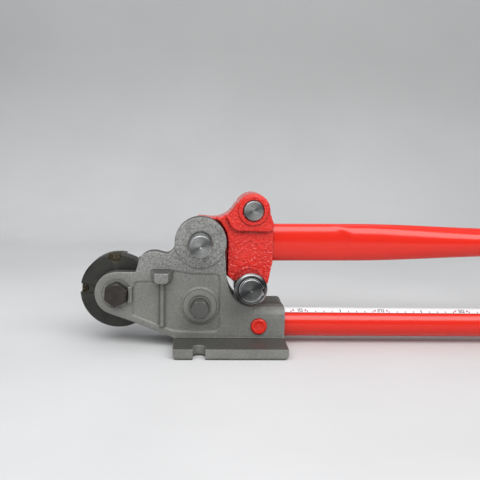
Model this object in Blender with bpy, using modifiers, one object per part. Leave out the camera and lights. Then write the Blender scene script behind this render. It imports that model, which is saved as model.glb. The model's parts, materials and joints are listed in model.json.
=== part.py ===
"""Hand-operated rebar cutter and bender: a cast head on a foot, a geared lever and two long tube handles.

Frame: metres, +X along the handles, +Y towards the back of the head, +Z up. The origin is on the ground
under the centre pin, in the middle plane of the head, so the front faces are at negative Y.
"""

from math import acos, atan2, cos, pi, radians, sin, sqrt, tan

import bmesh
import bpy
from mathutils import Matrix, Vector

# Head: axes seen from the front, as (x, z)
CENTRE_PIN = (0.0, 0.124)
IDLER_AXIS = (0.0, 0.050)
BLADE_HEIGHT = 0.064
ROLLER_AXIS = (0.0565, 0.0765)
UPPER_PIN_AXIS = (0.0599, 0.1612)
HANDLE_AXIS = (0.0, 0.0247)

# Head: planes across the thickness
CHEEK_Y = 0.027
SLOT_Y = 0.0125
PLATE_Y = 0.0122
GAP = 0.0003
PIN_FRONT_Y = -0.060
ROLLER_FRONT_Y = -0.057

# Gear train: one module throughout, stub teeth
MODULE = 0.004
PRESSURE_ANGLE = radians(25)
ADDENDUM = 0.8 * MODULE
DEDENDUM = 1.0 * MODULE
TOOTH_CLEARANCE = 0.0003
LEVER_TEETH = 10
IDLER_UPPER_TEETH = 27
IDLER_LOWER_TEETH = 18
BLADE_TEETH = 30
BLADE_DISTANCE = MODULE * (IDLER_LOWER_TEETH + BLADE_TEETH) / 2
BLADE_AXIS = (-sqrt(BLADE_DISTANCE**2 - (BLADE_HEIGHT - IDLER_AXIS[1]) ** 2), BLADE_HEIGHT)

# Foot
FOOT_LEFT, FOOT_RIGHT = -0.0290, 0.0996
FOOT_HALF_DEPTH = 0.069
FOOT_HEIGHT = 0.0122
FOOT_CORNER = 0.006
NOTCH_RADIUS = 0.0068
NOTCH_DEPTH = 0.016

# Casting
NOSE_RADIUS = 0.0250
EAR_RADIUS_FRONT = 0.0297
EAR_RADIUS_REAR = 0.024
EAR_BOSS_PROUD = 0.0012
SOCKET_TOP = 0.054
SOCKET_ROUNDING = 0.018
PANEL_DEPTH = 0.0014
BAR_REST_FRONT = -0.0430
CORE_INSET = 0.0004
SADDLE_CORE_TOP = 0.0600

# Blades
DISC_RADIUS = 0.0437
DISC_CHAMFER = 0.0016
DISC_GAP = 0.0002
NOTCH_TOP_ANGLE = radians(95.5)
NOTCH_SIDE_ANGLE = radians(176)
NOTCH_TOP_WIDTH = 0.015
NOTCH_SIDE_WIDTH = 0.011
BLADE_NOTCH_DEPTH = 0.0105
CLOSED_LAG = radians(26.6667)

# Pins, bolts and bores (radii)
CENTRE_PIN_RADIUS = 0.0125
ROLLER_PIN_RADIUS = 0.0125
UPPER_PIN_RADIUS = 0.0113
ROLLER_RADIUS = 0.0183
JOURNAL_RADIUS = 0.0195
BLADE_BOLT_RADIUS, BLADE_BOLT_FLATS, BLADE_BOLT_HEAD = 0.008, 0.024, 0.010
BLADE_BOLT_TURN = radians(-6)
BLADE_BUSH_RADIUS = 0.0115
IDLER_BOLT_RADIUS, IDLER_BOLT_FLATS, IDLER_BOLT_HEAD = 0.006, 0.019, 0.0152
DOWEL_AXIS = (BLADE_AXIS[0] + 0.0096, BLADE_AXIS[1] - 0.0181)
DOWEL_RADIUS = 0.003
DOWEL_FRONT = -0.0210
RING_WIDTH = 0.0018
RING_GROOVE = 0.0012
RIVET_RADIUS = 0.008
RIVET_HEAD = 0.0095
RIVET_AXIS = (0.0690, 0.0264)

# Lever: half thicknesses of its hub, plate, pad, rings and boss
LEVER_HUB_Y = 0.0119
LEVER_WEB_Y = 0.0165
LEVER_PAD_Y = 0.0215
LEVER_RING_Y = 0.0235
LEVER_BOSS_Y = 0.0210
LEVER_BOSS_RADIUS = 0.0174
LEVER_RING_RADIUS = 0.0172
UPPER_PIN_END_Y = 0.0262

# Handles
TUBE_RADIUS = 0.017
TUBE_WALL = 0.0032
FLAT_WIDTH, FLAT_HEIGHT = 0.0186, 0.0445
UPPER_TUBE_START, UPPER_FLAT_END, UPPER_PRESS_END, UPPER_ROUND_START = 0.0845, 0.160, 0.180, 0.355
PRESS_STEP = 0.0050
UPPER_TUBE_END = 0.965
UPPER_TUBE_Z, UPPER_TUBE_RISE = 0.1220, 0.0136
LOWER_TUBE_START, LOWER_TUBE_END = 0.038, 0.985
GRIP_LENGTH, GRIP_RADIUS = 0.125, 0.0215
TAPE_START, TAPE_END = 0.1010, 0.8400
TAPE_FRONT_ANGLE, TAPE_BACK_ANGLE = radians(-34), radians(22)

ROUND_STEPS = 40
TUBE_STEPS = 28
DISC_STEPS = 88
TO_FRONT = Matrix.Rotation(pi / 2, 4, "X")


def start_scene():
    """Empties the scene and makes one collection for the pieces and one for the cutters."""
    for leftover in list(bpy.data.objects):
        bpy.data.objects.remove(leftover)
    pieces = bpy.data.collections.new("rebar_cutter_bender")
    helpers = bpy.data.collections.new("cutters")
    for group in (pieces, helpers):
        bpy.context.scene.collection.children.link(group)
    return pieces, helpers


PIECES, HELPERS = start_scene()


def make_material(name, colour, roughness, metallic):
    material = bpy.data.materials.new(name)
    material.use_nodes = True
    shader = material.node_tree.nodes["Principled BSDF"]
    shader.inputs["Base Color"].default_value = (*colour, 1.0)
    shader.inputs["Roughness"].default_value = roughness
    shader.inputs["Metallic"].default_value = metallic
    return material


CAST_IRON = make_material("cast_iron", (0.16, 0.165, 0.155), 0.62, 0.55)
TOOL_STEEL = make_material("tool_steel", (0.045, 0.045, 0.042), 0.45, 0.7)
DARK_STEEL = make_material("dark_steel", (0.09, 0.08, 0.075), 0.5, 0.7)
BRIGHT_STEEL = make_material("bright_steel", (0.42, 0.44, 0.44), 0.3, 1.0)
BLACK_OXIDE = make_material("black_oxide", (0.03, 0.035, 0.035), 0.25, 0.8)
RED_PAINT = make_material("red_paint", (0.78, 0.03, 0.035), 0.3, 0.0)
TAPE_WHITE = make_material("tape_white", (0.85, 0.85, 0.86), 0.4, 0.0)
RUBBER = make_material("rubber", (0.02, 0.02, 0.02), 0.8, 0.0)


# Outlines: lists of (x, z) seen from the front


def polar(centre, radius, angle):
    return centre[0] + radius * cos(angle), centre[1] + radius * sin(angle)


def arc(centre, radius, start, end, steps):
    """Points along an arc, from start to end in degrees."""
    return [polar(centre, radius, radians(start + (end - start) * i / steps)) for i in range(steps + 1)]


def flowing(points, steps=4):
    """A smooth line through the points (Catmull-Rom)."""
    line = []
    last = len(points) - 1
    for i in range(last):
        before, here = Vector(points[max(i - 1, 0)]), Vector(points[i])
        there, after = Vector(points[i + 1]), Vector(points[min(i + 2, last)])
        for step in range(steps):
            t = step / steps
            line.append(
                0.5 * (2 * here + (there - before) * t + (2 * before - 5 * here + 4 * there - after) * t**2
                       + (3 * here - before - 3 * there + after) * t**3)
            )
    return [tuple(point) for point in line] + [tuple(points[-1])]


# Solids: every mesh is made in world space


def baked(obj):
    """The object's evaluated mesh in world space, welded and facing out. The object is removed."""
    bpy.context.view_layer.update()
    graph = bpy.context.evaluated_depsgraph_get()
    mesh = bpy.data.meshes.new_from_object(obj.evaluated_get(graph))
    mesh.transform(obj.matrix_world)
    bpy.data.objects.remove(obj)
    return tidied(mesh)


def tidied(mesh):
    shape = bmesh.new()
    shape.from_mesh(mesh)
    bmesh.ops.remove_doubles(shape, verts=shape.verts, dist=1e-6)
    bmesh.ops.recalc_face_normals(shape, faces=shape.faces)
    shape.to_mesh(mesh)
    shape.free()
    mesh.materials.clear()
    return mesh


def plate(outline, front, back):
    """A flat plate with this outline, between the planes y = front and y = back."""
    curve = bpy.data.curves.new("outline", "CURVE")
    curve.dimensions = "2D"
    curve.fill_mode = "BOTH"
    curve.extrude = (back - front) / 2
    line = curve.splines.new("POLY")
    line.points.add(len(outline) - 1)
    for point, (x, z) in zip(line.points, outline):
        point.co = (x, z, 0, 1)
    line.use_cyclic_u = True
    obj = bpy.data.objects.new("outline", curve)
    bpy.context.scene.collection.objects.link(obj)
    obj.matrix_world = Matrix.Translation((0, (front + back) / 2, 0)) @ TO_FRONT
    return baked(obj)


def cylinder(centre, radius, front, back, steps=ROUND_STEPS, turn=0.0):
    """A cylinder, or a prism when steps is small, along Y."""
    mesh = bpy.data.meshes.new("cylinder")
    shape = bmesh.new()
    bmesh.ops.create_cone(
        shape, cap_ends=True, segments=steps, radius1=radius, radius2=radius, depth=back - front
    )
    place = Matrix.Translation((centre[0], (front + back) / 2, centre[1])) @ TO_FRONT
    bmesh.ops.transform(shape, matrix=place @ Matrix.Rotation(turn, 4, "Z"), verts=shape.verts)
    shape.to_mesh(mesh)
    shape.free()
    return tidied(mesh)


def cylinder_x(y, z, radius, left, right, steps=TUBE_STEPS):
    mesh = bpy.data.meshes.new("cylinder")
    shape = bmesh.new()
    bmesh.ops.create_cone(
        shape, cap_ends=True, segments=steps, radius1=radius, radius2=radius, depth=right - left
    )
    place = Matrix.Translation(((left + right) / 2, y, z)) @ Matrix.Rotation(pi / 2, 4, "Y")
    bmesh.ops.transform(shape, matrix=place, verts=shape.verts)
    shape.to_mesh(mesh)
    shape.free()
    return tidied(mesh)


def block(low, high):
    mesh = bpy.data.meshes.new("block")
    shape = bmesh.new()
    bmesh.ops.create_cube(shape, size=1)
    middle = (Vector(low) + Vector(high)) / 2
    size = Vector(high) - Vector(low)
    bmesh.ops.transform(
        shape, matrix=Matrix.Translation(middle) @ Matrix.Diagonal((*size, 1)), verts=shape.verts
    )
    shape.to_mesh(mesh)
    shape.free()
    return tidied(mesh)


def turned(centre, profile, steps=ROUND_STEPS, place=None):
    """A turned piece, about the Y axis through centre unless place says otherwise.

    The profile holds (radius, y) from the front end down the outside. Only its stretches off the axis
    are swept, so a profile that starts on the axis is solid and one that never meets it is a ring.
    """
    mesh = bpy.data.meshes.new("profile")
    count = len(profile)
    pairs = [(i, (i + 1) % count) for i in range(count)]
    edges = [pair for pair in pairs if any(profile[i][0] > 0 for i in pair)]
    mesh.from_pydata([(radius, 0, -y) for radius, y in profile], edges, [])
    obj = bpy.data.objects.new("profile", mesh)
    bpy.context.scene.collection.objects.link(obj)
    screw = obj.modifiers.new("turn", "SCREW")
    screw.axis = "Z"
    screw.steps = screw.render_steps = steps
    screw.use_merge_vertices = True
    screw.merge_threshold = 1e-5
    obj.matrix_world = place or Matrix.Translation((centre[0], 0, centre[1])) @ TO_FRONT
    return baked(obj)


def smooth_sides(mesh):
    mesh.shade_smooth()
    mesh.set_sharp_from_angle(angle=radians(35))


def piece(name, mesh, material, parent=None):
    """A named piece of the tool, from a world-space mesh. Its parent is the empty on its joint's axis."""
    obj = bpy.data.objects.new(name, mesh)
    mesh.name = name
    mesh.materials.append(material)
    smooth_sides(mesh)
    PIECES.objects.link(obj)
    if parent is not None:
        obj.parent = parent
        obj.matrix_parent_inverse = parent.matrix_world.inverted()
    return obj


def combine(obj, mesh, operation):
    """Adds a Boolean with a hidden helper that holds the mesh."""
    helper = bpy.data.objects.new(f"{obj.name}_{operation.lower()}", mesh)
    helper.hide_render = True
    helper.display_type = "WIRE"
    HELPERS.objects.link(helper)
    boolean = obj.modifiers.new(operation.lower(), "BOOLEAN")
    boolean.operation = operation
    boolean.solver = "EXACT"
    boolean.object = helper


def join(obj, *meshes):
    for mesh in meshes:
        combine(obj, mesh, "UNION")


def cut(obj, *meshes):
    for mesh in meshes:
        combine(obj, mesh, "DIFFERENCE")


def joint_empty(name, centre, parent=None):
    empty = bpy.data.objects.new(name, None)
    empty.empty_display_size = 0.03
    empty.matrix_world = Matrix.Translation((centre[0], 0, centre[1]))
    PIECES.objects.link(empty)
    bpy.context.view_layer.update()
    if parent is not None:
        empty.parent = parent
        empty.matrix_parent_inverse = parent.matrix_world.inverted()
        bpy.context.view_layer.update()
    return empty


# Gears


def involute(angle):
    return tan(angle) - angle


def tooth_outline(centre, teeth, middle, height=ADDENDUM, steps=3):
    """One tooth centred on the angle middle, from its clockwise root to its counter-clockwise root."""
    pitch_radius = MODULE * teeth / 2
    base_radius = pitch_radius * cos(PRESSURE_ANGLE)
    root_radius, tip_radius = pitch_radius - DEDENDUM, pitch_radius + height
    half_at_pitch = pi / (2 * teeth) - TOOTH_CLEARANCE / (2 * pitch_radius)

    def half_angle(radius):
        if radius <= base_radius:
            return half_at_pitch + involute(PRESSURE_ANGLE)
        return half_at_pitch + involute(PRESSURE_ANGLE) - involute(acos(base_radius / radius))

    start = max(root_radius, base_radius)
    radii = [root_radius] * (root_radius < start) + [
        start + (tip_radius - start) * i / steps for i in range(steps + 1)
    ]
    rising = [polar(centre, radius, middle - half_angle(radius)) for radius in radii]
    falling = [polar(centre, radius, middle + half_angle(radius)) for radius in reversed(radii)]
    return rising + falling


def toothed_arc(centre, teeth, first, count):
    """The outline of count teeth, counter-clockwise from the angle first, with the root arcs between."""
    outline = []
    for i in range(count):
        outline += tooth_outline(centre, teeth, first + i * 2 * pi / teeth)
    return outline


# The head's outline, shared by the casting's layers

LOWER_EDGE = [(-0.0752, 0.0302), (-0.0545, 0.0220), (-0.0295, 0.0118)]
SADDLE = flowing(
    [(0.0750, SOCKET_TOP), (0.0670, 0.0508), (0.0580, 0.0498), (0.0465, 0.0540), (0.0375, 0.0625),
     (0.0325, 0.0750), (0.0300, 0.0880), (0.0290, 0.1000)], 3
)
WAVE = flowing(
    [(-0.0302, 0.1172), (-0.0348, 0.1124), (-0.0393, 0.1110), (-0.0461, 0.1127), (-0.0518, 0.1137),
     (-0.0586, 0.1128), (-0.0645, 0.1098), (-0.0700, 0.1035)], 2
)
NOSE_TOP = BLADE_HEIGHT + NOSE_RADIUS


def cheek_outline(rear):
    """Counter-clockwise from the top of the nose."""
    nose = arc(BLADE_AXIS, NOSE_RADIUS, 90, 252, 20)
    base = [(FOOT_LEFT, 0.003), (FOOT_RIGHT, 0.003)]
    corner = arc((FOOT_RIGHT - 0.009, SOCKET_TOP - 0.009), 0.009, 0, 90, 4)
    if rear:
        ear = arc(CENTRE_PIN, EAR_RADIUS_REAR, -20, 205, 28)
        top = [(-0.0340, 0.1010), (-0.0700, 0.0990)]
    else:
        ear = arc(CENTRE_PIN, EAR_RADIUS_FRONT, -20, 185, 24)
        top = WAVE
    return nose + LOWER_EDGE + base + corner + SADDLE + ear + top + [(-0.0735, NOSE_TOP)]


def core_outline():
    """The solid between the cheeks, under the slot that holds the blades and gears."""
    floor = [(0.0380, 0.0500), (0.0345, 0.0300), (0.0290, 0.0200), (-0.0200, 0.0178), (-0.0300, 0.0185),
             (-0.0430, 0.0240), (-0.0600, 0.0325), (-0.0690, 0.0278)]
    lower = [(x, z + CORE_INSET) for x, z in LOWER_EDGE[1:]]
    base = [(FOOT_LEFT + CORE_INSET, 0.004), (FOOT_RIGHT - CORE_INSET, 0.004)]
    corner = arc((FOOT_RIGHT - 0.009, SOCKET_TOP - 0.009), 0.009 - CORE_INSET, 0, 90, 5)
    saddle = [(x + CORE_INSET, z - CORE_INSET) for x, z in SADDLE if z < SADDLE_CORE_TOP]
    return lower + base + corner + saddle + floor


def foot_outline():
    left, right = FOOT_LEFT, FOOT_RIGHT
    corners = arc((left + FOOT_CORNER, FOOT_CORNER), FOOT_CORNER, 180, 270, 4)
    corners += arc((right - FOOT_CORNER, FOOT_CORNER), FOOT_CORNER, 270, 360, 4)
    return corners + [(right, FOOT_HEIGHT), (left, FOOT_HEIGHT)]


def panel_outline():
    """The shallow recess in the cheek, which steps up to the right of the bar rest."""
    return flowing(
        [(-0.0480, 0.0786), (-0.0660, 0.0786), (-0.0745, 0.0770), (-0.0773, 0.0690)], 2
    ) + [(-0.0773, 0.0390), (-0.0500, 0.0280)] + flowing(
        [(-0.0330, 0.0215), (-0.0200, 0.0195), (0.0130, 0.0195), (0.0200, 0.0205), (0.0232, 0.0250)], 2
    ) + flowing(
        [(0.0232, 0.0800), (0.0215, 0.0860), (0.0150, 0.0885), (-0.0060, 0.0880), (-0.0200, 0.0900),
         (-0.0300, 0.0915)], 2
    ) + [(-0.0480, 0.0915)]


def make_body():
    """The cast head: two cheeks, the core between them, the tube socket and the foot, in one piece."""
    body = piece("body_casting", plate(cheek_outline(rear=False), -CHEEK_Y, -SLOT_Y), CAST_IRON)
    join(
        body,
        plate(core_outline(), -SLOT_Y - 0.002, SLOT_Y + 0.002),
        plate(cheek_outline(rear=True), SLOT_Y, CHEEK_Y),
    )
    cut(
        body,
        plate(panel_outline(), -CHEEK_Y - 0.01, -CHEEK_Y + PANEL_DEPTH),
        plate(panel_outline(), CHEEK_Y - PANEL_DEPTH, CHEEK_Y + 0.01),
    )
    join(
        body,
        cylinder(CENTRE_PIN, EAR_RADIUS_FRONT - 0.0005, -CHEEK_Y - EAR_BOSS_PROUD, -SLOT_Y - 0.003, 44),
        plate(foot_outline(), -FOOT_HALF_DEPTH, FOOT_HALF_DEPTH),
        bar_rest(),
        rest_rib(),
        block((-0.0819, -CHEEK_Y - 0.0038, 0.0538), (-0.0775, -CHEEK_Y + 0.004, 0.0724)),
    )
    cut(body, *body_cutters())
    return body


def drawn_in(mesh, centre, shares):
    """Narrows what stands in front of the cheek towards centre (x, z), to shares of its width and height."""
    for vertex in mesh.vertices:
        if vertex.co.y < -CHEEK_Y:
            vertex.co.x = centre[0] + (vertex.co.x - centre[0]) * shares[0]
            vertex.co.z = centre[1] + (vertex.co.z - centre[1]) * shares[1]
    return mesh


def bar_rest():
    """The block that the bar rests on, with its lower corners cut off and drafted sides."""
    left, right, bottom, top = -0.0564, -0.0312, 0.0766, 0.0938
    corner = 0.0042
    outline = [(left, bottom + corner), (left + corner, bottom), (right - corner, bottom)]
    outline += [(right, bottom + corner), (right, top), (left, top)]
    mesh = plate(outline, BAR_REST_FRONT, -CHEEK_Y + 0.004)
    return drawn_in(mesh, (-0.0429, 0.0835), (0.61, 0.72))


def rest_rib():
    """The rib that carries the bar rest's load down the cheek."""
    mesh = block((-0.0480, -CHEEK_Y - 0.0036, 0.0236), (-0.0388, -CHEEK_Y + 0.004, 0.0800))
    return drawn_in(mesh, (-0.0430, 0.0800), (0.36, 0.95))


def socket_corner(side):
    """What rounds one upper edge of the tube socket, in front for side -1 and behind for side 1."""
    inner = CHEEK_Y - SOCKET_ROUNDING
    z = SOCKET_TOP - SOCKET_ROUNDING
    outline = arc((inner, z), SOCKET_ROUNDING, 0, 90, 6) + [(inner, z + 0.03), (inner + 0.03, z + 0.03)]
    outline += [(inner + 0.03, z)]
    mesh = plate(outline, -0.021, 0.021)
    turn = Matrix.Translation((0.082, 0, 0)) @ Matrix.Rotation(pi / 2, 4, "Z")
    if side < 0:
        turn = Matrix.Diagonal((1, -1, 1, 1)) @ turn
    mesh.transform(turn)
    return tidied(mesh)


def body_cutters():
    cutters = []
    for side in (-1, 1):
        cutters.append(socket_corner(side))
        edge = side * FOOT_HALF_DEPTH
        centre_y = edge - side * (NOTCH_DEPTH - NOTCH_RADIUS)
        cutters.append(vertical_cylinder(0.0, centre_y, NOTCH_RADIUS))
        low, high = sorted((centre_y, edge + side * 0.01))
        cutters.append(block((-NOTCH_RADIUS, low, -0.01), (NOTCH_RADIUS, high, 0.03)))
    cutters.append(cylinder(BLADE_AXIS, BLADE_BOLT_RADIUS + GAP, -0.05, 0.05, 32))
    cutters.append(cylinder(IDLER_AXIS, JOURNAL_RADIUS + GAP, -0.05, 0.05))
    cutters.append(cylinder(CENTRE_PIN, CENTRE_PIN_RADIUS + GAP, -0.05, 0.05))
    cutters.append(cylinder(RIVET_AXIS, RIVET_RADIUS + GAP, -0.05, 0.05, 32))
    cutters.append(cylinder_x(0, HANDLE_AXIS[1], TUBE_RADIUS + GAP, LOWER_TUBE_START - GAP, 0.2))
    cutters.append(cylinder(DOWEL_AXIS, DOWEL_RADIUS + GAP, DOWEL_FRONT - GAP, 0, 20))
    return cutters


def vertical_cylinder(x, y, radius):
    mesh = bpy.data.meshes.new("cylinder")
    shape = bmesh.new()
    bmesh.ops.create_cone(shape, cap_ends=True, segments=28, radius1=radius, radius2=radius, depth=0.06)
    bmesh.ops.translate(shape, vec=(x, y, 0), verts=shape.verts)
    shape.to_mesh(mesh)
    shape.free()
    return tidied(mesh)


# Blades and their bolt


def blade_notch(angle, width):
    """What cuts a bar notch into a disc's rim: a slot with a round floor."""
    length = 0.02
    floor = DISC_RADIUS - BLADE_NOTCH_DEPTH
    outline = arc((floor + width / 2, 0), width / 2, 90, 270, 8)
    outline += [(floor + length + width, -width / 2), (floor + length + width, width / 2)]
    mesh = plate(outline, -0.03, 0.03)
    mesh.transform(Matrix.Translation((BLADE_AXIS[0], 0, BLADE_AXIS[1])) @ Matrix.Rotation(-angle, 4, "Y"))
    return tidied(mesh)


def make_fixed_blade():
    disc = turned(
        BLADE_AXIS,
        [(BLADE_BUSH_RADIUS + GAP, -PLATE_Y), (DISC_RADIUS - DISC_CHAMFER, -PLATE_Y),
         (DISC_RADIUS, -PLATE_Y + DISC_CHAMFER), (DISC_RADIUS, -DISC_GAP),
         (BLADE_BUSH_RADIUS + GAP, -DISC_GAP)],
        DISC_STEPS,
    )
    blade = piece("fixed_blade", disc, TOOL_STEEL)
    cut(
        blade,
        blade_notch(NOTCH_TOP_ANGLE, NOTCH_TOP_WIDTH),
        blade_notch(NOTCH_SIDE_ANGLE, NOTCH_SIDE_WIDTH),
        cylinder(DOWEL_AXIS, DOWEL_RADIUS + GAP, -0.02, -0.004, 20),
    )


def make_moving_blade(parent):
    """The rear disc, with the gear segment that the idler drives. It rests closed, turned past the notch."""
    to_idler = atan2(IDLER_AXIS[1] - BLADE_AXIS[1], IDLER_AXIS[0] - BLADE_AXIS[0])
    pitch = 2 * pi / BLADE_TEETH
    first = to_idler - 2 * pitch
    root = MODULE * BLADE_TEETH / 2 - DEDENDUM
    teeth = toothed_arc(BLADE_AXIS, BLADE_TEETH, first, 4)
    last = first + 3 * pitch
    outline = [polar(BLADE_AXIS, root, first - 0.45 * pitch)] + teeth
    outline += [polar(BLADE_AXIS, root, last + 0.60 * pitch)]
    outline += [polar(BLADE_AXIS, 0.030, last + pitch), polar(BLADE_AXIS, 0.030, first - 0.6 * pitch)]
    disc = turned(
        BLADE_AXIS,
        [(BLADE_BUSH_RADIUS + GAP, DISC_GAP), (DISC_RADIUS, DISC_GAP),
         (DISC_RADIUS, PLATE_Y - DISC_CHAMFER), (DISC_RADIUS - DISC_CHAMFER, PLATE_Y),
         (BLADE_BUSH_RADIUS + GAP, PLATE_Y)],
        DISC_STEPS,
    )
    blade = piece("moving_blade", disc, TOOL_STEEL, parent)
    join(blade, plate(outline, DISC_GAP + 0.0002, PLATE_Y - 0.0002))
    cut(
        blade,
        blade_notch(NOTCH_TOP_ANGLE - CLOSED_LAG, NOTCH_TOP_WIDTH),
        blade_notch(NOTCH_SIDE_ANGLE - CLOSED_LAG, NOTCH_SIDE_WIDTH),
    )


def hex_bolt(centre, shank, shank_end, across_flats, head_front, head_back, turn):
    """A bolt along Y with its head in front."""
    head = cylinder(centre, across_flats / sqrt(3), head_front, head_back, 6, turn)
    chamfer = turned(
        centre,
        [(0, head_front), (across_flats / 2 - 0.0002, head_front),
         (across_flats / sqrt(3) + 0.001, head_front + 0.0022),
         (across_flats / sqrt(3) + 0.001, head_back + 0.001), (0, head_back + 0.001)],
    )
    rod = cylinder(centre, shank, head_back - 0.0005, shank_end, 28)
    return head, chamfer, rod


def make_bolt(name, *sizes):
    head, chamfer, rod = hex_bolt(*sizes)
    bolt = piece(name, head, DARK_STEEL)
    combine(bolt, chamfer, "INTERSECT")
    join(bolt, rod)


def ring(centre, inner, outer, front, back, steps=ROUND_STEPS):
    return turned(centre, [(inner, front), (outer, front), (outer, back), (inner, back)], steps)


def make_nut(name, centre, bore, across_flats, front, back, turn):
    nut = piece(name, cylinder(centre, across_flats / sqrt(3), front, back, 6, turn), DARK_STEEL)
    cut(nut, cylinder(centre, bore, front - 0.01, back + 0.01, 28))


def make_blade_bolt():
    rear = CHEEK_Y + GAP
    make_bolt("blade_bolt", BLADE_AXIS, BLADE_BOLT_RADIUS, rear + 0.0205, BLADE_BOLT_FLATS,
              -CHEEK_Y - GAP - BLADE_BOLT_HEAD, -CHEEK_Y - GAP, BLADE_BOLT_TURN)
    piece("blade_bush", ring(BLADE_AXIS, BLADE_BOLT_RADIUS + GAP, BLADE_BUSH_RADIUS, -PLATE_Y, PLATE_Y, 32),
          BRIGHT_STEEL)
    piece("blade_bolt_washer", ring(BLADE_AXIS, BLADE_BOLT_RADIUS + GAP, 0.0150, rear, rear + 0.003),
          DARK_STEEL)
    make_nut("blade_bolt_nut", BLADE_AXIS, BLADE_BOLT_RADIUS + GAP, BLADE_BOLT_FLATS,
             rear + 0.003 + GAP, rear + 0.016, 0.0)
    piece("blade_dowel", cylinder(DOWEL_AXIS, DOWEL_RADIUS, DOWEL_FRONT, -0.0045, 20), BRIGHT_STEEL)


# Idler and its journal


def make_idler(parent):
    """A large gear segment in front, driven by the lever, and a small one behind that drives the blade."""
    to_blade = atan2(BLADE_AXIS[1] - IDLER_AXIS[1], BLADE_AXIS[0] - IDLER_AXIS[0])
    hub = ring(IDLER_AXIS, JOURNAL_RADIUS + GAP, 0.027, -PLATE_Y, PLATE_Y)
    idler = piece("idler_gear", hub, DARK_STEEL, parent)
    for teeth, first, count, front, back in (
        (IDLER_UPPER_TEETH, pi / 2, 5, -PLATE_Y + 0.0002, -DISC_GAP - 0.0004),
        (IDLER_LOWER_TEETH, to_blade - pi / IDLER_LOWER_TEETH, 4, DISC_GAP + 0.0004, PLATE_Y - 0.0002),
    ):
        pitch = 2 * pi / teeth
        root = MODULE * teeth / 2 - DEDENDUM
        last = first + (count - 1) * pitch
        outline = [polar(IDLER_AXIS, root, first - 0.45 * pitch)]
        outline += toothed_arc(IDLER_AXIS, teeth, first, count)
        outline += [polar(IDLER_AXIS, root, last + 0.45 * pitch)]
        outline += [polar(IDLER_AXIS, 0.0245, last + 0.5 * pitch)]
        inner = [polar(IDLER_AXIS, 0.0225, last - (last - first) * i / 6) for i in range(7)]
        outline += inner + [polar(IDLER_AXIS, 0.0245, first - 0.5 * pitch)]
        join(idler, plate(outline, front, back))


def make_journal():
    """The flush spool that carries the idler in both cheeks, clamped by one bolt."""
    bore = IDLER_BOLT_RADIUS + GAP
    piece("idler_journal", ring(IDLER_AXIS, bore, JOURNAL_RADIUS, -CHEEK_Y, CHEEK_Y), CAST_IRON)
    rear = CHEEK_Y + GAP
    washer_front = -CHEEK_Y - GAP - 0.0028
    piece("idler_bolt_washer", ring(IDLER_AXIS, bore, 0.0122, washer_front, -CHEEK_Y - GAP), DARK_STEEL)
    make_bolt("idler_bolt", IDLER_AXIS, IDLER_BOLT_RADIUS, rear + 0.0165, IDLER_BOLT_FLATS,
              washer_front - GAP - IDLER_BOLT_HEAD, washer_front - GAP, pi / 6)
    piece("idler_rear_washer", ring(IDLER_AXIS, bore, 0.0122, rear, rear + 0.0025), DARK_STEEL)
    make_nut("idler_nut", IDLER_AXIS, bore, IDLER_BOLT_FLATS, rear + 0.0025 + GAP, rear + 0.0130, pi / 6)


# Centre pin


def pin_profile(radius, front, back, grooves=()):
    """A turned pin with chamfered ends and a groove for each retaining ring, given by its front plane."""
    chamfer = 0.0008
    floor = radius - RING_GROOVE
    profile = [(0, front), (radius - chamfer, front), (radius, front + chamfer)]
    for start in grooves:
        end = start + RING_WIDTH
        profile += [(radius, start), (floor, start), (floor, end), (radius, end)]
    return profile + [(radius, back - chamfer), (radius - chamfer, back), (0, back)]


def make_circlip(name, centre, shaft, groove_start, parent=None):
    """A retaining ring in its groove, open at its right side between two lugs."""
    inner = shaft - RING_GROOVE + GAP
    front, back = groove_start + 0.0002, groove_start + RING_WIDTH - 0.0002
    clip = piece(name, ring(centre, inner, shaft + 0.0011, front, back), DARK_STEEL, parent)
    for angle in (radians(18), radians(-18)):
        join(clip, cylinder(polar(centre, shaft + 0.0008, angle), 0.0016, front + 0.0001, back - 0.0001, 12))
    gap_outline = [polar(centre, shaft - 0.004, 0), polar(centre, shaft + 0.006, radians(-9)),
                   polar(centre, shaft + 0.006, radians(9))]
    cut(clip, plate(gap_outline, front - 0.003, back + 0.003))


def make_centre_pin():
    rear = CHEEK_Y + GAP
    washer_back = rear + 0.0025
    groove = washer_back + 0.0001
    profile = pin_profile(CENTRE_PIN_RADIUS, PIN_FRONT_Y, groove + 0.0045, [groove])
    piece("centre_pin", turned(CENTRE_PIN, profile), BRIGHT_STEEL)
    piece("centre_pin_washer", ring(CENTRE_PIN, CENTRE_PIN_RADIUS + GAP, 0.0195, rear, washer_back),
          DARK_STEEL)
    make_circlip("centre_pin_circlip", CENTRE_PIN, CENTRE_PIN_RADIUS, groove)


# Lever


def lever_hub_outline():
    """The geared hub and the tongue that runs in the head's slot, counter-clockwise."""
    pitch = 2 * pi / LEVER_TEETH
    first = -pi / 2 - 3.5 * pitch
    root = MODULE * LEVER_TEETH / 2 - DEDENDUM
    teeth = toothed_arc(CENTRE_PIN, LEVER_TEETH, first, 5)
    tongue = [polar(CENTRE_PIN, root, radians(-56)), polar(CENTRE_PIN, 0.0290, radians(-52)),
              (0.0300, 0.0840), (0.0380, 0.0780), (0.0450, 0.1000), (0.0450, 0.1500), (0.0320, 0.1575)]
    rise = flowing([(0.0240, 0.1526), (0.0130, 0.1515), (0.0060, 0.1522)], 3)
    return teeth + tongue + rise + arc(CENTRE_PIN, 0.0285, 80, 98, 3) + [
        polar(CENTRE_PIN, root + 0.001, radians(112))]


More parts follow.
